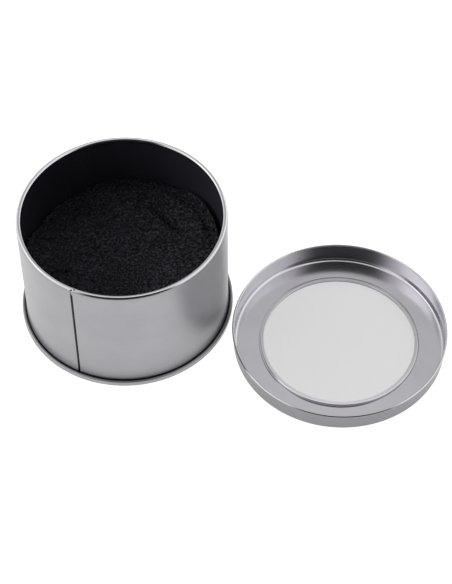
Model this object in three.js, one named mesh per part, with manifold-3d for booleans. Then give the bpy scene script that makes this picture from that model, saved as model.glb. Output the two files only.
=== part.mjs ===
// A round tinplate tin that stands open with foam inside, and its lid lying upside down beside it.
// Millimetres, +Z up. The origin is on the surface that both stand on, midway between their outer edges.
// +X runs from the tin towards the lid.
import * as THREE from 'three';
import { mergeVertices } from 'three/addons/utils/BufferGeometryUtils.js';
import Module from 'manifold-3d';

const wasm = await Module();
wasm.setup();

// Driving dimensions
const segments = 64;
const sheet = 0.3; // tinplate
const spacing = 96.9; // from the tin's axis to the lid's

const tinHeight = 60;
const wallRadius = 45.15; // outside of the wall
const rimHalfWidth = 1.07; // the rolled rim's section is a slightly flattened circle
const rimHalfHeight = 1.0;
const seamDegrees = -102.1; // the side seam's bearing from +X
const seamGroove = { width: 0.7, depth: 0.12 };
const seamFold = { width: 4, thickness: 0.5, low: 5, high: 56.5 };

const beadRadius = 47.27; // outside of the bead round the foot
const beadHeight = 3.2;
const beadFoot = 1.1; // radius of the bead's lower corner
const beadShoulder = 0.62; // radius of its upper corner
const beadLean = 0.08; // how far in its outer face leans
const beadRoll = 1.5; // half the height of the roll inside it
const beadGap = 0.15; // between the rolled layers of the foot
const bottomPanel = 1.5; // underside of the bottom's panel, above the surface
const stepRadius = 38.5; // where the bottom's panel steps up
const stepHeight = 0.6;

const linerInside = 44.15;
const linerOutside = 44.75;
const linerTop = 57.2;
const linerGapDegrees = 7; // the liner's ends stop either side of the seam's fold

const padRadius = 43.65;
const padGap = 0.3;
const lowerPadTop = 27.7;
const upperPadTop = 34;
const padCorner = 0.9;

const lidHeight = 10.34;
const lidOutside = 46.6; // outside of the skirt, just above its corner
const lidCorner = 1.8; // outside radius of the corner
const lidFlare = 0.2; // how much wider the skirt is at its mouth
const curlRoll = 0.38; // radius of the mouth's curl
const windowHole = 33.5;

const paneRadius = 34.6;
const paneLow = 0.4;
const paneThickness = 0.2;
const paneGap = 0.1; // between the pane and the ring over it
const ringInside = 33.35;
const ringOutside = 35.4;
const ringRound = 1.0; // radius of the ring's outer shoulder
const ringSeat = 34.75; // inside of the ring's foot, round the pane's edge
const ringTop = 1.5;

// The row's middle is midway between the bead and the curl, which are the outermost edges.
const curlOutside = lidOutside - sheet + lidFlare + 2 * curlRoll;
const tinX = -(spacing + curlOutside - beadRadius) / 2;
const lidX = tinX + spacing;

const tinplate = { color: 0xb4b3b8, roughness: 0.36, metalness: 1.0 };
const blackCard = { color: 0x0d0d0f, roughness: 0.55, metalness: 0.0 };
const blackFoam = { color: 0x17171a, roughness: 1.0, metalness: 0.0 };
const clearPlastic = { color: 0xe6e9ee, roughness: 0.08, metalness: 0.0, transparent: true, opacity: 0.35 };

function radians(degrees) {
  return THREE.MathUtils.degToRad(degrees);
}

// Points [radius, height] on an arc, both ends included. The arc is circular unless it is given its own rise.
function arc(centreR, centreZ, radius, fromDegrees, toDegrees, steps, rise = radius) {
  const points = [];
  for (let i = 0; i <= steps; i += 1) {
    const angle = radians(fromDegrees + ((toDegrees - fromDegrees) * i) / steps);
    points.push([centreR + radius * Math.cos(angle), centreZ + rise * Math.sin(angle)]);
  }
  return points;
}

// A solid of revolution about +Z from an outline that runs anticlockwise, outer side upwards.
function turned(outline) {
  const onAxis = outline[0][0] === 0;
  const closed = onAxis ? outline : [...outline, outline[0]];
  const points = closed.map(([r, z]) => new THREE.Vector2(r, z));
  const geometry = new THREE.LatheGeometry(points, segments);
  geometry.rotateX(Math.PI / 2);
  return geometry;
}

function toSolid(geometry) {
  const plain = geometry.clone();
  plain.deleteAttribute('normal');
  plain.deleteAttribute('uv');
  const merged = mergeVertices(plain, 1e-4);
  const vertProperties = new Float32Array(merged.attributes.position.array);
  const triVerts = new Uint32Array(merged.index.array);
  return new wasm.Manifold(new wasm.Mesh({ numProp: 3, vertProperties, triVerts }));
}

function toGeometry(solid) {
  const mesh = solid.getMesh();
  const geometry = new THREE.BufferGeometry();
  geometry.setAttribute('position', new THREE.BufferAttribute(mesh.vertProperties, 3));
  geometry.setIndex(new THREE.BufferAttribute(mesh.triVerts, 1));
  geometry.computeVertexNormals();
  return geometry;
}

function piece(name, geometry, look) {
  const mesh = new THREE.Mesh(geometry, new THREE.MeshStandardMaterial(look));
  mesh.name = name;
  return mesh;
}

// A curved strip about +Z: a sector of a ring, standing between two heights.
function strip(inner, outer, fromDegrees, toDegrees, low, high, steps) {
  const from = radians(fromDegrees);
  const to = radians(toDegrees);
  const shape = new THREE.Shape();
  shape.absarc(0, 0, outer, from, to, false);
  shape.absarc(0, 0, inner, to, from, true);
  shape.closePath();
  const options = { depth: high - low, bevelEnabled: false, curveSegments: steps };
  const geometry = new THREE.ExtrudeGeometry(shape, options);
  geometry.translate(0, 0, low);
  return geometry;
}

// The angle on a circle of this radius, centred on the bead, at which it meets a given radius.
function angleAt(radius, reach) {
  return THREE.MathUtils.radToDeg(Math.acos((reach - (beadRadius - beadRoll)) / radius));
}

// The wall: rolled inwards at the rim, and turned out and up at the foot, inside the bottom's bead.
function tinBody() {
  const rimR = wallRadius - rimHalfWidth;
  const rimZ = tinHeight - rimHalfHeight;
  const footR = beadRadius - beadRoll;
  const hookOutside = beadRoll - sheet - beadGap;
  const hookInside = hookOutside - sheet;
  const hookEnd = 60;
  const outline = [
    ...arc(footR, beadRoll, hookOutside, -angleAt(hookOutside, wallRadius - sheet), hookEnd, 5),
    ...arc(footR, beadRoll, hookInside, hookEnd, -angleAt(hookInside, wallRadius), 4),
    ...arc(rimR, rimZ, rimHalfWidth, 0, 270, 9, rimHalfHeight),
    ...arc(rimR, rimZ, rimHalfWidth - sheet, 270, 0, 6, rimHalfHeight - sheet),
  ];
  const halfFold = THREE.MathUtils.radToDeg(seamFold.width / 2 / linerOutside);
  const foldOuter = wallRadius - sheet / 2;
  const fold = strip(
    linerOutside - seamFold.thickness,
    foldOuter,
    seamDegrees - halfFold,
    seamDegrees + halfFold,
    seamFold.low,
    seamFold.high,
    4,
  );
  const cutter = 4;
  const groove = new THREE.BoxGeometry(cutter, seamGroove.width, tinHeight);
  groove.translate(wallRadius + cutter / 2 - seamGroove.depth, 0, tinHeight / 2 + beadHeight + beadGap);
  groove.rotateZ(radians(seamDegrees));
  const solid = toSolid(turned(outline)).add(toSolid(fold)).subtract(toSolid(groove));
  return piece('tin_body', toGeometry(solid), tinplate);
}

// The bottom: a recessed panel, a wall inside the tin's wall, and the bead folded round the flange.
function tinBottom() {
  const rollR = beadRadius - beadRoll;
  const inside = beadRoll - sheet;
  const chuckOut = wallRadius - sheet - beadGap;
  const chuckIn = chuckOut - sheet;
  const lip = wallRadius + beadGap;
  const shoulderR = beadRadius - beadLean - beadShoulder;
  const outline = [
    [0, bottomPanel + stepHeight],
    [stepRadius - stepHeight, bottomPanel + stepHeight],
    [stepRadius, bottomPanel],
    [chuckIn - sheet, bottomPanel],
    [chuckIn, bottomPanel - sheet],
    [chuckIn, sheet],
    [chuckIn + sheet, 0],
    ...arc(beadRadius - beadFoot, beadFoot, beadFoot, -90, 0, 4),
    ...arc(shoulderR, beadHeight - beadShoulder, beadShoulder, 0, 90, 4),
    [lip, beadHeight - sheet],
    ...arc(rollR, beadRoll, inside, angleAt(inside, lip), -angleAt(inside, chuckOut), 7),
    [chuckOut, bottomPanel],
    [chuckIn, bottomPanel + sheet],
    [stepRadius + sheet / 2, bottomPanel + sheet],
    [stepRadius - stepHeight + sheet / 2, bottomPanel + stepHeight + sheet],
    [0, bottomPanel + stepHeight + sheet],
  ];
  return piece('tin_bottom', turned(outline), tinplate);
}

// The liner: a strip sprung against the wall, with its ends either side of the seam's fold.
function wallLiner() {
  const from = seamDegrees + linerGapDegrees / 2;
  const to = seamDegrees + 360 - linerGapDegrees / 2;
  const low = bottomPanel + sheet + padGap;
  return piece('wall_liner', strip(linerInside, linerOutside, from, to, low, linerTop, segments), blackCard);
}

// A pad's outline. Its face has a few rings of points, closer together near its edge, for the relief to move.
function padOutline(low, high) {
  const faceRings = [37.4, 29.6, 17.4];
  return [
    [0, low],
    [padRadius - padCorner, low],
    [padRadius, low + padCorner],
    [padRadius, high - padCorner],
    [padRadius - padCorner, high],
    ...faceRings.map((r) => [r, high]),
    [0, high],
  ];
}

// A smooth hump of a given height and width, centred on a point at a bearing and radius.
function hump(x, y, bearing, radius, height, width) {
  const away = Math.hypot(x - radius * Math.cos(radians(bearing)), y - radius * Math.sin(radians(bearing)));
  return height * Math.exp(-((away / width) ** 2));
}

// How far the pressed-in foam sheet stands above or below its level, from its edge buckling.
function padRelief(x, y) {
  const backRight = hump(x, y, 50, 43, 3.6, 11);
  const back = hump(x, y, 90, 43, 1.2, 12);
  const left = hump(x, y, -172, 43, 2.4, 9);
  const backLeft = hump(x, y, 150, 41, -3.2, 15);
  return backRight + back + left + backLeft;
}

function lowerPad() {
  const low = bottomPanel + stepHeight + sheet + padGap;
  return piece('lower_pad', turned(padOutline(low, lowerPadTop)), blackFoam);
}

function upperPad() {
  const low = lowerPadTop + padGap;
  const geometry = turned(padOutline(low, upperPadTop));
  const position = geometry.attributes.position;
  for (let i = 0; i < position.count; i += 1) {
    const above = position.getZ(i) > (low + upperPadTop) / 2;
    const rise = above ? padRelief(position.getX(i), position.getY(i)) : 0;
    position.setZ(i, position.getZ(i) + rise);
  }
  return piece('upper_pad', geometry, blackFoam);
}

// The lid, upside down: its outer face is down, and its mouth is up.
function lidShell() {
  const cornerR = lidOutside - lidCorner;
  const mouthR = lidOutside - sheet + lidFlare + curlRoll;
  const mouthZ = lidHeight - curlRoll;
  const outline = [
    [windowHole, 0],
    ...arc(cornerR, lidCorner, lidCorner, -90, 0, 4),
    [mouthR - curlRoll + sheet, mouthZ - curlRoll],
    ...arc(mouthR, mouthZ, curlRoll, -60, 180, 5),
    ...arc(cornerR, lidCorner, lidCorner - sheet, 0, -90, 4),
    [windowHole, sheet],
  ];
  return piece('lid_shell', turned(outline), tinplate);
}

function windowPane() {
  const outline = [
    [0, paneLow],
    [paneRadius, paneLow],
    [paneRadius, paneLow + paneThickness],
    [0, paneLow + paneThickness],
  ];
  return piece('window_pane', turned(outline), clearPlastic);
}

// The ring that holds the pane's edge down on the lid's panel: a low bead with a rounded outer shoulder.
function windowRing() {
  const overPane = paneLow + paneThickness + paneGap;
  const chamfer = 0.2;
  const outline = [
    [ringInside, overPane],
    [ringSeat, overPane],
    [ringSeat, paneLow],
    [ringOutside, paneLow],
    ...arc(ringOutside - ringRound, ringTop - ringRound, ringRound, 0, 90, 4),
    [ringInside + chamfer, ringTop],
    [ringInside, ringTop - chamfer],
  ];
  return piece('window_ring', turned(outline), tinplate);
}

const tin = new THREE.Group();
tin.position.x = tinX;
tin.add(tinBody(), tinBottom(), wallLiner(), lowerPad(), upperPad());

const lid = new THREE.Group();
lid.position.x = lidX;
lid.add(lidShell(), windowRing(), windowPane());

const windowTin = new THREE.Group();
windowTin.add(tin, lid);

export default windowTin;
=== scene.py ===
"""A round tinplate tin that stands open with black foam inside, and its windowed lid upside down beside it.
Lengths in the outlines are millimetres, and every mesh is made in metres in the row's frame."""

import math

import bmesh
import bpy
from mathutils import Matrix, Vector, noise


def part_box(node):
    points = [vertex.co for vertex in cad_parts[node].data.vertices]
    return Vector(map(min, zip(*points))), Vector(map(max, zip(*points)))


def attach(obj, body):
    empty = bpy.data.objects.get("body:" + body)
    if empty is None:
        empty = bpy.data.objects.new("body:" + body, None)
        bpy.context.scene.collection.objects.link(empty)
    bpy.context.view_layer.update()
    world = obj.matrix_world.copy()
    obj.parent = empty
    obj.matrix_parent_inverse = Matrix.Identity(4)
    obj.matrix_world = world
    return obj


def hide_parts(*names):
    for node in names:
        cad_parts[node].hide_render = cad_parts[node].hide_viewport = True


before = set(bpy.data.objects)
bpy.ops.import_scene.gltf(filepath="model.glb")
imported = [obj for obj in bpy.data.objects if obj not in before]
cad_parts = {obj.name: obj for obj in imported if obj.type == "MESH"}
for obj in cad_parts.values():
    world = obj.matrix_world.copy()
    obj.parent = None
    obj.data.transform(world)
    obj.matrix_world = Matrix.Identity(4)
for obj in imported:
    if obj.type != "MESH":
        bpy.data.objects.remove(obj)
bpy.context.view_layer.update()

MM = 0.001

# What the frame says, in millimetres
bottom_low, bottom_high = (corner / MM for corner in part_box("tin_bottom"))
liner_low, liner_high = (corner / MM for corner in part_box("wall_liner"))
lower_low, lower_high = (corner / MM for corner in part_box("lower_pad"))
upper_low, upper_high = (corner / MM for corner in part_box("upper_pad"))
shell_low, shell_high = (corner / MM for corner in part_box("lid_shell"))
pane_low, pane_high = (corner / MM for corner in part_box("window_pane"))

TIN_X = (bottom_low.x + bottom_high.x) / 2
LID_X = (shell_low.x + shell_high.x) / 2
BEAD_R = (bottom_high.x - bottom_low.x) / 2
PAD_R = (upper_high.x - upper_low.x) / 2
CURL_R = (shell_high.x - shell_low.x) / 2
LID_TOP = shell_high.z

# Tin
SHEET = 0.3
RIM_HEIGHT = 60.0
RIM_CENTRE_R = 44.08
RIM_HALF_WIDTH = 1.07
RIM_HALF_HEIGHT = 1.0
WALL_R = 45.15
SEAM = math.radians(-102.1)
SEAM_HALF = 0.40
SEAM_DEPTH = 0.55
FOLD_HALF = 2.0
FOLD_THICK = 0.5
BEAD_ROLL = 1.5
BEAD_FOOT = 1.1
BEAD_SHOULDER = 0.62
BEAD_HIGH = 3.2
PANEL_Z = 1.5
STEP_R = 38.5
STEP_Z = 0.6
# The notch in the rim beside the seam, measured round the wall from the seam, and the lap next to it
NOTCH = (0.75, 1.3)
NOTCH_DEPTH = 0.3
LAP_HEIGHT = 0.1
# How far the wall stands out, and at what height, just above the bead
FLARE = ((0, 2.75), (0.34, 3.25), (0.2, 3.9), (0.07, 4.7), (0, 5.8))

# Liner and foam
LINER_IN = 44.15
LINER_OUT = 44.75
LINER_GAP = math.radians(7)
FOAM_TOP = 34.0
# Rises and hollows in the foam's face: bearing in degrees, distance from the middle, height and width
HUMPS = (
    (50, 43, 2.4, 12),
    (90, 43, 1.2, 12),
    (-173, 43, 3.0, 8),
    (150, 41, -3.2, 15),
    (170, 43, -2.6, 7),
    (-135, 36, 1.2, 8),
)
# Furrows in the foam's face: start, end, depth and width
CREASES = (
    ((4, 28), (20.5, 17.5), 3.0, 1.1),
    ((-43.5, -0.5), (-34, 0.5), 2.4, 1.3),
    ((-29, -18), (-21.5, -15.5), 1.8, 1.2),
    ((-20, -17), (-8, -20), 0.8, 2.0),
)

# Lid
LID_OUT = 46.6
LID_CORNER = 1.8
CURL = 0.48
HOLE_R = 33.5
RING_IN = 33.35
RING_OUT = 35.4
RING_ROUND = 1.0
RING_HIGH = 1.5

# Faces round each solid of revolution
TURNS = 288


def arc(centre_r, centre_z, radius, start, end, steps):
    """Points (r, z) on a circular arc, in degrees, both ends included."""
    points = []
    for i in range(steps + 1):
        angle = math.radians(start + (end - start) * i / steps)
        points.append((centre_r + radius * math.cos(angle), centre_z + radius * math.sin(angle)))
    return points


def bearings(count, extra=()):
    """Evenly spaced bearings round a full turn, with some more put in, and none nearly alike."""
    evenly = [math.tau * i / count for i in range(count)]
    wanted = sorted({round(a % math.tau, 6) for a in extra})
    kept = [a for a in evenly if all(abs(a - b) > 0.004 for b in wanted)]
    return sorted(kept + wanted)


def angle_from(bearing, centre):
    """The signed angle from one bearing to another, from -pi to pi."""
    return (bearing - centre + math.pi) % math.tau - math.pi


def smooth(low, high, value):
    """0 up to low and 1 from high, with an even change between them. Low may be the greater of the two."""
    t = min(1.0, max(0.0, (value - low) / (high - low)))
    return t * t * (3 - 2 * t)


def mark_sharp(mesh, degrees=38):
    """Smooth shading, with a crease where two faces meet at more than this angle."""
    work = bmesh.new()
    work.from_mesh(mesh)
    bmesh.ops.recalc_face_normals(work, faces=work.faces)
    limit = math.radians(degrees)
    for face in work.faces:
        face.smooth = True
    for edge in work.edges:
        if len(edge.link_faces) == 2:
            edge.smooth = edge.calc_face_angle() < limit
    work.to_mesh(mesh)
    work.free()


def make_object(name, vertices, faces, materials, face_materials=None):
    """An object from points in millimetres, with a material number for each face if there are several."""
    mesh = bpy.data.meshes.new(name)
    mesh.from_pydata([Vector(v) * MM for v in vertices], [], faces)
    for material in materials:
        mesh.materials.append(material)
    if face_materials:
        mesh.polygons.foreach_set("material_index", face_materials)
    mark_sharp(mesh)
    made = bpy.data.objects.new(name, mesh)
    bpy.context.scene.collection.objects.link(made)
    return made


def lathe(name, outline, centre_x, materials, angles, warp=None, pick=None):
    """A solid of revolution about the upright axis at centre_x.
    The outline closes on itself, or starts and ends on the axis.
    warp(r, z, angle) moves a point, and pick(r, z, angle) says which of the materials a face has."""
    closed = outline[0][0] > 1e-6
    rows = len(outline)
    vertices, index = [], {}
    for i, angle in enumerate(angles):
        for j, (r, z) in enumerate(outline):
            if r < 1e-6:
                if ("axis", j) not in index:
                    index["axis", j] = len(vertices)
                    vertices.append((centre_x, 0, z))
                index[i, j] = index["axis", j]
                continue
            if warp:
                r, z = warp(r, z, angle)
            index[i, j] = len(vertices)
            vertices.append((centre_x + r * math.cos(angle), r * math.sin(angle), z))
    faces, picks = [], []
    for i in range(len(angles)):
        after = (i + 1) % len(angles)
        for j in range(rows if closed else rows - 1):
            below = (j + 1) % rows
            ring = [index[i, j], index[after, j], index[after, below], index[i, below]]
            faces.append(list(dict.fromkeys(ring)))
            if pick:
                middle_r = (outline[j][0] + outline[below][0]) / 2
                middle_z = (outline[j][1] + outline[below][1]) / 2
                turn = angles[i] + ((angles[after] - angles[i]) % math.tau) / 2
                picks.append(pick(middle_r, middle_z, turn))
    return make_object(name, vertices, faces, materials, picks or None)


# ---- Materials ----


def new_material(name):
    """A material with one principled shader, and what is needed to add to it."""
    material = bpy.data.materials.new(name)
    material.use_nodes = True
    nodes = material.node_tree.nodes
    nodes.clear()
    output = nodes.new("ShaderNodeOutputMaterial")
    shader = nodes.new("ShaderNodeBsdfPrincipled")
    material.node_tree.links.new(shader.outputs["BSDF"], output.inputs["Surface"])
    return material, nodes, material.node_tree.links, shader


def add(nodes, kind, **inputs):
    """A node with some of its inputs set."""
    node = nodes.new(kind)
    for key, value in inputs.items():
        node.inputs[key.replace("_", " ")].default_value = value
    return node


def grey(value):
    return (value, value, value)


def noise_at(nodes, links, position, scale, detail=3.0, roughness=0.5):
    """Cloudy noise from 0 to 1 at a position."""
    node = add(nodes, "ShaderNodeTexNoise", Scale=scale, Detail=detail, Roughness=roughness)
    links.new(position, node.inputs["Vector"])
    return node.outputs["Fac"]


def ramp(nodes, links, value, stops):
    """Colours at some places from 0 to 1, blended between them."""
    node = nodes.new("ShaderNodeValToRGB")
    elements = node.color_ramp.elements
    for element, (place, colour) in zip(elements, (stops[0], stops[-1])):
        element.position = place
        element.color = (*colour, 1)
    for place, colour in stops[1:-1]:
        elements.new(place).color = (*colour, 1)
    links.new(value, node.inputs["Fac"])
    return node.outputs["Color"]


def spread(nodes, links, value, low, high, to_low, to_high):
    """A value carried from one range to another, and held at the ends."""
    node = nodes.new("ShaderNodeMapRange")
    for key, number in (("From Min", low), ("From Max", high), ("To Min", to_low), ("To Max", to_high)):
        node.inputs[key].default_value = number
    links.new(value, node.inputs["Value"])
    return node.outputs["Result"]


def stretched(nodes, links, scale):
    """Object coordinates, stretched along some axes."""
    place = nodes.new("ShaderNodeTexCoord")
    mapping = nodes.new("ShaderNodeMapping")
    mapping.inputs["Scale"].default_value = scale
    links.new(place.outputs["Object"], mapping.inputs["Vector"])
    return mapping.outputs["Vector"]


def parts_of(nodes, links, vector):
    """The X, Y and Z of a vector."""
    node = nodes.new("ShaderNodeSeparateXYZ")
    links.new(vector, node.inputs["Vector"])
    return node.outputs


def mixed(nodes, links, first, second, factor=None, mode="MIX"):
    """Two colours mixed by a factor, or all the way where there is none."""
    node = nodes.new("ShaderNodeMix")
    node.data_type = "RGBA"
    node.blend_type = mode
    node.inputs["Factor"].default_value = 1.0
    if factor is not None:
        links.new(factor, node.inputs["Factor"])
    links.new(first, node.inputs["A"])
    links.new(second, node.inputs["B"])
    return node.outputs["Result"]


def bump(nodes, links, shader, height, strength, distance):
    node = add(nodes, "ShaderNodeBump", Strength=strength, Distance=distance)
    links.new(height, node.inputs["Height"])
    links.new(node.outputs["Normal"], shader.inputs["Normal"])


def tinplate(name, shade, roll, roughness, pitting):
    """Tinplate: faint grain from the rolling mill along one direction, clouded brightness, fine pitting.
    The grain is scaled by roll along each axis, and roughness is its least and its most."""
    material, nodes, links, shader = new_material(name)
    shader.inputs["Metallic"].default_value = 1.0
    plain = stretched(nodes, links, (1, 1, 1))
    grain = stretched(nodes, links, roll)
    cloud = noise_at(nodes, links, plain, 55, 4.0, 0.55)
    streak = noise_at(nodes, links, grain, 2200, 2.0)
    darkest, palest = (tuple(k * shade * part for part in (0.995, 0.98, 1.03)) for k in (0.945, 1.045))
    colours = [(0.3, darkest), (0.7, palest)]
    links.new(ramp(nodes, links, cloud, colours), shader.inputs["Base Color"])
    links.new(spread(nodes, links, streak, 0.25, 0.75, *roughness), shader.inputs["Roughness"])
    pits = noise_at(nodes, links, plain, 2600, 2.0)
    bump(nodes, links, shader, pits, pitting, 0.000003)
    return material


def painted_gap_shade():
    """Painted shade where two layers of sheet meet, in the seam's groove, the notch in the rim and the
    crevice behind the bead: nearly black, finely mottled.
    """
    material, nodes, links, shader = new_material("painted_gap_shade")
    plain = stretched(nodes, links, (1, 1, 1))
    fine_mottle = noise_at(nodes, links, plain, 1500)
    colours = [(0.3, (0.003, 0.003, 0.003)), (0.7, (0.008, 0.008, 0.008))]
    links.new(ramp(nodes, links, fine_mottle, colours), shader.inputs["Base Color"])
    links.new(spread(nodes, links, fine_mottle, 0.3, 0.7, 0.6, 0.8), shader.inputs["Roughness"])
    shader.inputs["Specular IOR Level"].default_value = 0.2
    return material


def black_card():
    """Smooth black liner: a faint sheen, the slight unevenness of rolled card, and paler to the right:
    painted shade on its left side and painted light toward the right.
    """
    material, nodes, links, shader = new_material("black_card")
    plain = stretched(nodes, links, (1, 1, 1))
    fibre = noise_at(nodes, links, plain, 1400, 3.0)
    cloud = noise_at(nodes, links, plain, 60, 2.0)
    # A shaded copy of the colour for the left side and a lit copy for the rest, blended by X: painted shade
    # and painted light
    left = ramp(nodes, links, cloud, [(0.3, (0.008, 0.0075, 0.012)), (0.7, (0.012, 0.0115, 0.017))])
    right = ramp(nodes, links, cloud, [(0.3, (0.032, 0.030, 0.042)), (0.7, (0.040, 0.038, 0.052))])
    lit_rightward = spread(nodes, links, parts_of(nodes, links, plain)["X"], -0.09, -0.055, 0.0, 1.0)
    links.new(mixed(nodes, links, left, right, lit_rightward), shader.inputs["Base Color"])
    shader.inputs["Specular IOR Level"].default_value = 0.25
    links.new(spread(nodes, links, fibre, 0.3, 0.7, 0.42, 0.6), shader.inputs["Roughness"])
    bump(nodes, links, shader, fibre, 0.25, 0.00005)
    return material


def black_foam():
    """Open-celled black foam: dark cells between paler struts, mottled, and paler to the right and on its
    lip. The dark cells are painted shade in the hollows and the pale flecks painted glints where struts catch
    the light; the paler right side and lip are painted light.
    """
    material, nodes, links, shader = new_material("black_foam")
    plain = stretched(nodes, links, (1, 1, 1))
    cells = add(nodes, "ShaderNodeTexVoronoi", Scale=1150.0)
    links.new(plain, cells.inputs["Vector"])
    struts = noise_at(nodes, links, plain, 1100, 3.0, 0.55)
    patches = noise_at(nodes, links, plain, 75, 3.0, 0.6)
    place = parts_of(nodes, links, plain)
    # Painted light on the right side, which the left wall leaves unshaded, and on the raised lip
    lit_right_and_lip = nodes.new("ShaderNodeMath")
    lit_right_and_lip.operation = "MAXIMUM"
    links.new(spread(nodes, links, place["X"], -0.048, -0.014, 0.0, 1.0), lit_right_and_lip.inputs[0])
    links.new(spread(nodes, links, place["Z"], 0.0365, 0.0395, 0.0, 1.5), lit_right_and_lip.inputs[1])
    # The pale flecks at the top of each ramp are painted glints where struts catch the light and the dark
    # cell colour is painted shade in the hollows; the left ramp is the shaded copy and the right ramp the lit
    # one
    cell = (0.32, (0.0016, 0.0016, 0.002))
    left = ramp(nodes, links, struts, [cell, (0.5, (0.0125, 0.012, 0.0155)), (0.70, (0.045, 0.043, 0.054))])
    right = ramp(nodes, links, struts, [cell, (0.5, (0.024, 0.0235, 0.029)), (0.70, (0.10, 0.097, 0.114))])
    lit_and_shaded = mixed(nodes, links, left, right, lit_right_and_lip.outputs["Value"])
    darker = ramp(nodes, links, struts, [(0.3, grey(0.4)), (0.7, grey(0.6))])
    patchy = spread(nodes, links, patches, 0.35, 0.65, 0.6, 0.0)
    links.new(mixed(nodes, links, lit_and_shaded, darker, patchy, "MULTIPLY"), shader.inputs["Base Color"])
    shader.inputs["Roughness"].default_value = 0.92
    shader.inputs["Specular IOR Level"].default_value = 0.08
    bump(nodes, links, shader, cells.outputs["Distance"], 0.7, 0.0005)
    return material


def clear_plastic():
    """The window: clear plastic sheet with a slight grey tint, which is painted shade for the shaded floor
    under the lid seen through it.
    """
    material, nodes, links, shader = new_material("clear_plastic")
    plain = stretched(nodes, links, (1, 1, 1))
    cloud = noise_at(nodes, links, plain, 22, 2.0)
    # The grey tint is painted shade
    colours = [(0.3, (0.11, 0.11, 0.122)), (0.7, (0.135, 0.135, 0.148))]
    links.new(ramp(nodes, links, cloud, colours), shader.inputs["Base Color"])
    shader.inputs["Alpha"].default_value = 0.26
    shader.inputs["IOR"].default_value = 1.4
    fine = noise_at(nodes, links, plain, 300, 2.0)
    links.new(spread(nodes, links, fine, 0.3, 0.7, 0.12, 0.2), shader.inputs["Roughness"])
    return material


# The same tinplate in four shades. The satin is the plain metal; the lid's outside is a darker copy, painted
# shade; the rolled copy on the rim and the curl is lighter, a painted highlight; and the copy on the lid's
# inside and the window ring is lighter, painted light, and glossier.
SATIN = tinplate("tinplate_satin", 0.315, (0.05, 0.05, 1), (0.36, 0.42), 0.3)
ROLLED_HIGHLIGHT = tinplate("tinplate_rolled_highlight", 0.62, (0.05, 0.05, 1), (0.10, 0.13), 0.02)
SHADED_OUTSIDE = tinplate("tinplate_lid_shade", 0.235, (0.05, 0.05, 1), (0.36, 0.42), 0.3)
BRIGHT_LIT = tinplate("tinplate_bright_lit", 0.62, (1, 0.05, 0.3), (0.17, 0.195), 0.012)
# Painted shade, laid on the faces deep in the seam, in the notch and in the crevice behind the bead
GAP_SHADE = painted_gap_shade()
CARD = black_card()
FOAM = black_foam()
CLEAR = clear_plastic()


# ---- Tin ----


def seam_offset(angle):
    """How far round the wall a bearing is from the side seam, in millimetres."""
    return angle_from(angle, SEAM) * WALL_R


def seam_bearings():
    """Extra bearings that give the side seam its edges, and the fold behind it."""
    places = [SEAM_HALF, SEAM_HALF + 0.06, SEAM_HALF + 0.15, FOLD_HALF, FOLD_HALF + 0.3]
    both = [side * place for side in (-1, 1) for place in places]
    return [SEAM + place / WALL_R for place in both + [NOTCH[0], NOTCH[1], NOTCH[1] + 0.3]]


def rolled(centre_r, centre_z, half_width, half_height, start, end, steps):
    """A roll's outline, an ellipse whose upper outer shoulder the rolling tool has pressed nearly flat."""
    middle, half, flatness = 38, 30, 0.65
    points = []
    for i in range(steps + 1):
        degrees = start + (end - start) * i / steps
        angle = math.radians(degrees)
        reach = 1.0
        if abs(degrees - middle) < half:
            chord = math.cos(math.radians(half)) / math.cos(math.radians(degrees - middle))
            reach = 1 - flatness * (1 - chord)
        r = centre_r + reach * half_width * math.cos(angle)
        points.append((r, centre_z + reach * half_height * math.sin(angle)))
    return points


def rim_roll(inset, start, end, steps):
    """The rolled rim's outline, moved inwards by inset."""
    centre_z = RIM_HEIGHT - RIM_HALF_HEIGHT
    half_width, half_height = RIM_HALF_WIDTH - inset, RIM_HALF_HEIGHT - inset
    return rolled(RIM_CENTRE_R, centre_z, half_width, half_height, start, end, steps)


def on_crown(r, z):
    """Whether a point is on the rim's outer surface, about its highest part."""
    return -0.15 < r - RIM_CENTRE_R < 0.45 and z > RIM_HEIGHT - 0.2


def warp_body(r, z, angle):
    """The seam's groove outside, its fold inside, and the small notch and lap where it meets the rim."""
    place = seam_offset(angle)
    offset = abs(place)
    outside = r > WALL_R - SHEET / 2
    if on_crown(r, z) and NOTCH[0] < place < NOTCH[1] + 0.1:
        z -= NOTCH_DEPTH
    if on_crown(r, z) and NOTCH[1] + 0.1 < place < FOLD_HALF + 0.1:
        z += LAP_HEIGHT
    if outside and BEAD_ROLL < z < RIM_HEIGHT - 0.2:
        r -= SEAM_DEPTH * (1 - smooth(SEAM_HALF + 0.02, SEAM_HALF + 0.15, offset))
    if not outside and 4 < z < RIM_HEIGHT - 2.5:
        r -= FOLD_THICK * (1 - smooth(FOLD_HALF, FOLD_HALF + 0.3, offset))
    return r, z


def pick_body(r, z, angle):
    """1 for the faces that lie deep in the seam, and in the notch, which take the painted shade; 2 for the
    rolled rim, whose lighter tinplate is a painted highlight; and 0 for the rest.
    """
    place = seam_offset(angle)
    if abs(place) < SEAM_HALF + 0.01 and r > RIM_CENTRE_R + 0.5 and BEAD_ROLL < z < RIM_HEIGHT - 0.1:
        return 1 if r > WALL_R - SHEET / 2 or z > RIM_HEIGHT - 0.6 else 0
    if on_crown(r, z) and NOTCH[0] < place < NOTCH[1]:
        return 1
    shoulder = r > RIM_CENTRE_R and z < RIM_HEIGHT - 0.6
    return 2 if z > RIM_HEIGHT - 1.3 and not shoulder else 0


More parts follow.
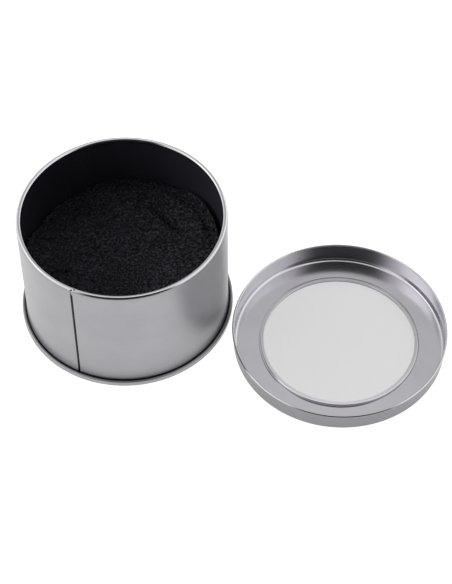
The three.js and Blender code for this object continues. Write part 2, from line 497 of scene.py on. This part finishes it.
def tin_wall():
    """The wall: its foot hooked into the bead, its rim rolled inwards, and the side seam down its front."""
    foot_r = BEAD_R - BEAD_ROLL
    hook = BEAD_ROLL - SHEET - 0.15
    flare = [(WALL_R + out, z) for out, z in FLARE]
    outer = flare + [(WALL_R, z) for z in (7, RIM_HEIGHT - 6, RIM_HEIGHT - 2.6, RIM_HEIGHT - 2.1)]
    inner = [(WALL_R - SHEET, z) for z in (RIM_HEIGHT - 1.8, RIM_HEIGHT - 6, 5, 3)]
    outline = [
        *arc(foot_r, BEAD_ROLL, hook, -125, 60, 10),
        *arc(foot_r, BEAD_ROLL, hook - SHEET, 60, -118, 9),
        *outer,
        *rim_roll(0, -25, 285, 46),
        *rim_roll(SHEET, 285, 12, 18),
        *inner,
    ]
    angles = bearings(TURNS, seam_bearings())
    made = lathe("tin_wall", outline, TIN_X, [SATIN, GAP_SHADE, ROLLED_HIGHLIGHT], angles, warp_body, pick_body)
    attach(made, "tin")
    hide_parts("tin_body")


def tin_end():
    """The bottom end and its bead, a band as tall as two rolls of sheet with a crevice behind it whose faces
    are painted dark as shade.
    """
    bead_r = BEAD_R - BEAD_FOOT
    inside = BEAD_ROLL - SHEET
    chuck_out = WALL_R - SHEET - 0.15
    chuck_in = chuck_out - SHEET
    shoulder_r = BEAD_R - 0.08 - BEAD_SHOULDER
    shoulder_z = BEAD_HIGH - BEAD_SHOULDER
    outline = [
        (0, PANEL_Z + STEP_Z),
        *arc(STEP_R - 1.3, PANEL_Z + STEP_Z - 0.4, 0.4, 90, 30, 3),
        *arc(STEP_R, PANEL_Z + 0.4, 0.4, 210, 270, 3),
        *arc(chuck_in - 0.5, PANEL_Z - 0.5, 0.5, 90, 0, 5),
        *arc(chuck_in + 0.35, 0.35, 0.35, 180, 270, 4),
        (bead_r, 0),
        *arc(bead_r, BEAD_FOOT, BEAD_FOOT, -80, 0, 9),
        *arc(shoulder_r, shoulder_z, BEAD_SHOULDER, 3, 105, 12),
        (WALL_R + 0.75, BEAD_HIGH - 0.3),
        (WALL_R + 0.3, BEAD_HIGH - 0.62),
        (WALL_R + 0.07, BEAD_HIGH - 0.9),
        (WALL_R + 0.04, 1.9),
        *arc(BEAD_R - BEAD_ROLL, BEAD_ROLL, inside, 90, -132, 16),
        (chuck_out, PANEL_Z - 0.2),
        *arc(chuck_out - 0.6, PANEL_Z - 0.3, 0.6, 0, 90, 5),
        (STEP_R + 0.2, PANEL_Z + SHEET),
        (STEP_R - 1.1, PANEL_Z + STEP_Z + SHEET),
        (0, PANEL_Z + STEP_Z + SHEET),
    ]

    # The crevice's faces take the painted shade
    def crevice(r, z, angle):
        return 1 if WALL_R - 0.1 < r < WALL_R + 0.6 and 1.95 < z < BEAD_HIGH - 0.2 else 0

    made = lathe("tin_end", outline, TIN_X, [SATIN, GAP_SHADE], bearings(TURNS), None, crevice)
    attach(made, "tin")
    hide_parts("tin_bottom")


def liner():
    """The liner: a strip sprung round inside the wall, not quite round, its ends apart at the seam."""
    low, high = liner_low.z, liner_high.z
    count = 200
    start = SEAM + LINER_GAP / 2
    sweep = math.tau - LINER_GAP
    heights = [low + (high - low) * k / 12 for k in range(13)]
    section = [(LINER_OUT, z) for z in heights] + [(LINER_IN, z) for z in reversed(heights)]
    vertices = []
    for i in range(count + 1):
        angle = start + sweep * i / count
        for r, z in section:
            wave = noise.noise(Vector((math.cos(angle) * 2.2, math.sin(angle) * 2.2, z * 0.03)))
            reach = r + (0.12 * wave - 0.04) * smooth(high, high - 12, z)
            vertices.append((TIN_X + reach * math.cos(angle), reach * math.sin(angle), z))
    rows = len(section)
    faces = []
    for i in range(count):
        for j in range(rows):
            k = (j + 1) % rows
            faces.append([i * rows + j, (i + 1) * rows + j, (i + 1) * rows + k, i * rows + k])
    faces.append(list(range(rows)))
    faces.append([count * rows + j for j in reversed(range(rows))])
    made = make_object("liner", vertices, faces, [CARD])
    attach(made, "tin")
    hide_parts("wall_liner")


# ---- Foam ----


def hump(x, y, bearing, radius, height, width):
    """A smooth rise centred on a point at a bearing, in degrees, and a radius."""
    turn = math.radians(bearing)
    away = math.hypot(x - radius * math.cos(turn), y - radius * math.sin(turn))
    return height * math.exp(-((away / width) ** 2))


def crease(x, y, start, end, depth, width):
    """A furrow along a line, fading at its ends."""
    line = Vector(end) - Vector(start)
    offset = Vector((x, y)) - Vector(start)
    along = offset.dot(line) / line.length_squared
    nearest = offset - line * min(1.0, max(0.0, along))
    fade = smooth(-0.25, 0.15, along) * (1 - smooth(0.85, 1.25, along))
    return -depth * fade * math.exp(-((nearest.length / width) ** 2))


def turned_up(bearing):
    """How much of the foam's edge stands up at a bearing in degrees: all of it at the back right only."""
    return smooth(22, 34, bearing) * (1 - smooth(64, 74, bearing))


def foam_relief(x, y):
    """How far the foam's face stands above its level. It is too big for the tin, so its edge buckles,
    and at the back right it stands up in a lip with a gutter inside it."""
    bearing = math.degrees(math.atan2(y, x))
    radius = math.hypot(x, y)
    level = sum(hump(x, y, *rise) for rise in HUMPS) + sum(crease(x, y, *furrow) for furrow in CREASES)
    lip = 3.6 * math.exp(-(((radius - 42.0) / 1.7) ** 2))
    gutter = 2.0 * math.exp(-(((radius - 38.9) / 1.1) ** 2))
    level += turned_up(bearing) * (lip - gutter)
    wave = noise.noise(Vector((x * 0.06 + 3.1, y * 0.06, 0.7)))
    ripple = noise.noise(Vector((x * 0.22, y * 0.22, 4.2)))
    return level + 0.9 * wave + 0.28 * ripple


def pad(name, low, high, node, body, relief):
    """A foam disc with rounded edges and a slightly rough skin, its face a grid raised by the relief."""
    rings, count, corner = 84, 300, 1.0
    outline = [(0, low)]
    outline += [(PAD_R * k / 8, low) for k in range(1, 8)]
    outline += arc(PAD_R - corner, low + corner, corner, -90, 0, 4)
    outline += arc(PAD_R - corner, high - corner, corner, 0, 90, 5)
    outline += [((PAD_R - corner) * (1 - k / rings), high) for k in range(1, rings)]
    outline += [(0, high)]
    middle = (low + high) / 2

    def rough(r, z, angle):
        x, y = r * math.cos(angle), r * math.sin(angle)
        share = smooth(middle, high - corner, z)
        edge = smooth(PAD_R - 2.5, PAD_R, r)
        grain = noise.noise(Vector((x * 1.15, y * 1.15, z * 1.15)))
        fine = noise.noise(Vector((x * 2.3, y * 2.3, z * 2.3)))
        texture = 0.15 * grain + 0.07 * fine
        lift = share * (relief(x, y) + texture) if relief else share * texture
        wander = 0.35 * noise.noise(Vector((math.cos(angle) * 3, math.sin(angle) * 3, 9.0)))
        lean = 0.9 * share * turned_up(math.degrees(angle)) if relief else 0
        return r + edge * (wander - 0.35 - lean), z + lift

    angles = [math.tau * i / count for i in range(count)]
    made = lathe(name, outline, TIN_X, [FOAM], angles, rough)
    # The last point, on the axis, isn't moved with the others
    made.data.vertices[-1].co.z = high * MM + (relief(0, 0) * MM if relief else 0)
    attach(made, body)
    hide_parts(node)


# ---- Lid ----


def lid_shell():
    """The lid upside down: a flat panel with a round hole, a corner, a flared skirt and a curled mouth.
    Its outside is satin and painted darker, as shade; its inside is glossier and painted lighter, as light;
    and its curl is burnished, with a painted highlight."""
    corner_r = LID_OUT - LID_CORNER
    mouth_r = CURL_R - CURL
    mouth_z = LID_TOP - CURL
    outline = [
        (HOLE_R, 0.04),
        (HOLE_R + 0.15, 0),
        (corner_r - 0.4, 0),
        *arc(corner_r, LID_CORNER, LID_CORNER, -90, 0, 12),
        (LID_OUT + 0.01, LID_CORNER + 0.4),
        (LID_OUT + 0.06, 4),
        (LID_OUT + 0.14, 7.5),
        (LID_OUT + 0.2, mouth_z - CURL - 0.35),
        *rolled(mouth_r, mouth_z, CURL, CURL, -78, 180, 32),
        (mouth_r - CURL - 0.01, mouth_z - 0.35),
        (LID_OUT - SHEET + 0.1, 6),
        (LID_OUT - SHEET + 0.01, LID_CORNER + 0.4),
        *arc(corner_r, LID_CORNER, LID_CORNER - SHEET, 0, -90, 14),
        (corner_r - 0.4, SHEET),
        (HOLE_R, SHEET),
    ]

    # 2 takes the rolled tinplate with its painted highlight, 1 the lighter inside tinplate with its painted
    # light, and 0 the darker outside tinplate with its painted shade
    def pick(r, z, angle):
        if z > mouth_z + 0.15 or (r < mouth_r and z > mouth_z - CURL):
            return 2
        inside = r < LID_OUT - SHEET / 2 + 0.02 * z and z > SHEET / 2
        under = math.hypot(max(0, r - corner_r), min(0, z - LID_CORNER)) > LID_CORNER - SHEET / 2
        return 1 if inside and not (under and z < LID_CORNER) else 0

    made = lathe("lid_tray", outline, LID_X, [SHADED_OUTSIDE, BRIGHT_LIT, ROLLED_HIGHLIGHT], bearings(TURNS), None, pick)
    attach(made, "lid")
    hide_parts("lid_shell")


def window_ring():
    """The ring that holds the window down on the panel: a low bead with a rounded outer shoulder."""
    low, high = SHEET + 0.03, RING_HIGH
    over_pane = pane_high.z + 0.06
    seat = (pane_high.x - pane_low.x) / 2 + 0.1
    outline = [
        (RING_IN + 0.06, over_pane),
        (seat, over_pane),
        (seat, low),
        (RING_OUT, low),
        *arc(RING_OUT - RING_ROUND, high - RING_ROUND, RING_ROUND, 0, 90, 14),
        (RING_IN + 0.25, high - 0.01),
        *arc(RING_IN + 0.2, high - 0.2, 0.2, 90, 180, 6),
    ]
    # The ring takes the lighter tinplate, whose colour is painted light
    made = lathe("window_rim", outline, LID_X, [BRIGHT_LIT], bearings(TURNS))
    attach(made, "lid")
    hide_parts("window_ring")


def window_pane():
    """The window: a flat disc of clear sheet."""
    radius = (pane_high.x - pane_low.x) / 2
    low, high = pane_low.z, pane_high.z
    outline = [(0, low), (radius, low), (radius, high), (0, high)]
    made = lathe("window", outline, LID_X, [CLEAR], bearings(TURNS))
    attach(made, "lid")
    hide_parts("window_pane")


# ---- Stage ----

VIEW_BEARING = math.radians(13.96)
VIEW_ELEVATION = math.radians(52.31)
VIEW_ROLL = math.radians(-0.308)
VIEW_DISTANCE = 0.8383
VIEW_TARGET = Vector((-0.00667, 0.01508, 0))
LENS = 114.27
PALE = (0.55, 0.55, 0.55)
GLOW = 0.92


def camera():
    """The camera, aimed at a point between the tin and the lid. Its places are in metres."""
    data = bpy.data.cameras.new("camera")
    data.lens = LENS
    data.sensor_width = 36
    data.clip_start = 0.01
    data.clip_end = 20
    made = bpy.data.objects.new("camera", data)
    flat = math.cos(VIEW_ELEVATION)
    back = Vector((math.sin(VIEW_BEARING) * flat, -math.cos(VIEW_BEARING) * flat, math.sin(VIEW_ELEVATION)))
    made.rotation_mode = "QUATERNION"
    turn = (-back).to_track_quat("-Z", "Y").to_matrix() @ Matrix.Rotation(VIEW_ROLL, 3, "Z")
    made.rotation_quaternion = turn.to_quaternion()
    made.location = VIEW_TARGET + back * VIEW_DISTANCE
    bpy.context.scene.collection.objects.link(made)
    bpy.context.scene.camera = made


def softbox(name, place, size, power, target=(0, 0, 0.02)):
    """A rectangular light that faces the target. Places are in metres and the power in watts."""
    data = bpy.data.lights.new(name, "AREA")
    data.shape = "RECTANGLE"
    data.size, data.size_y = size
    data.energy = power
    made = bpy.data.objects.new(name, data)
    made.location = place
    made.rotation_euler = (Vector(target) - Vector(place)).to_track_quat("-Z", "Y").to_euler()
    bpy.context.scene.collection.objects.link(made)


def floor():
    """A plain pale floor, which glows a little so that it stays white round the tin."""
    side = 3.0
    mesh = bpy.data.meshes.new("floor")
    corners = [(-side, -side, 0), (side, -side, 0), (side, side, 0), (-side, side, 0)]
    mesh.from_pydata(corners, [], [(0, 1, 2, 3)])
    material, nodes, links, shader = new_material("floor")
    shader.inputs["Base Color"].default_value = (*PALE, 1)
    shader.inputs["Roughness"].default_value = 0.9
    shader.inputs["Specular IOR Level"].default_value = 0.1
    shader.inputs["Emission Color"].default_value = (1, 1, 1, 1)
    shader.inputs["Emission Strength"].default_value = GLOW
    mesh.materials.append(material)
    made = bpy.data.objects.new("floor", mesh)
    bpy.context.scene.collection.objects.link(made)


def toward(bearing, elevation):
    """A unit vector from a bearing and an elevation, in degrees."""
    turn, rise = math.radians(bearing), math.radians(elevation)
    return Vector((math.cos(turn) * math.cos(rise), math.sin(turn) * math.cos(rise), math.sin(rise)))


def surroundings():
    """A pale studio: dim behind the tin, bright overhead and at both sides, and dark round the camera."""
    world = bpy.data.worlds.new("studio")
    bpy.context.scene.world = world
    world.use_nodes = True
    nodes, links = world.node_tree.nodes, world.node_tree.links
    nodes.clear()
    output = nodes.new("ShaderNodeOutputWorld")
    background = nodes.new("ShaderNodeBackground")
    place = nodes.new("ShaderNodeTexCoord")

    def along(direction):
        dot = nodes.new("ShaderNodeVectorMath")
        dot.operation = "DOT_PRODUCT"
        dot.inputs[1].default_value = direction
        links.new(place.outputs["Generated"], dot.inputs[0])
        return dot.outputs["Value"]

    ceiling = [(0.79, grey(0.46)), (0.84, grey(0.62)), (0.95, grey(0.95))]
    overhead = ramp(nodes, links, along((0, 0, 1)), ceiling)
    right = ramp(nodes, links, along(toward(14, 0)), [(0.2, grey(0)), (0.6, grey(1.0))])
    left = ramp(nodes, links, along(toward(194, 0)), [(0.2, grey(0)), (0.6, grey(0.9))])
    sides = mixed(nodes, links, left, right, mode="ADD")
    lit = mixed(nodes, links, overhead, sides, mode="LIGHTEN")
    at_camera = ramp(nodes, links, along(toward(-82, 52)), [(0.84, grey(1)), (0.93, grey(0.09))])
    below_camera = ramp(nodes, links, along(toward(-72, 18)), [(0.66, grey(1)), (0.80, grey(0.05))])
    dark = mixed(nodes, links, at_camera, below_camera, mode="DARKEN")
    shade = mixed(nodes, links, lit, dark, mode="MULTIPLY")
    links.new(shade, background.inputs["Color"])
    background.inputs["Strength"].default_value = 1.25
    links.new(background.outputs["Background"], output.inputs["Surface"])


tin_wall()
tin_end()
liner()
pad("foam_block", lower_low.z, lower_high.z, "lower_pad", "tin", None)
pad("foam_sheet", upper_low.z, FOAM_TOP, "upper_pad", "top_foam", foam_relief)
lid_shell()
window_ring()
window_pane()

camera()
floor()
surroundings()
softbox("left_light", (-1.1, -0.1, 0.9), (0.9, 1.1), 2)
bpy.context.scene.view_settings.view_transform = "Standard"
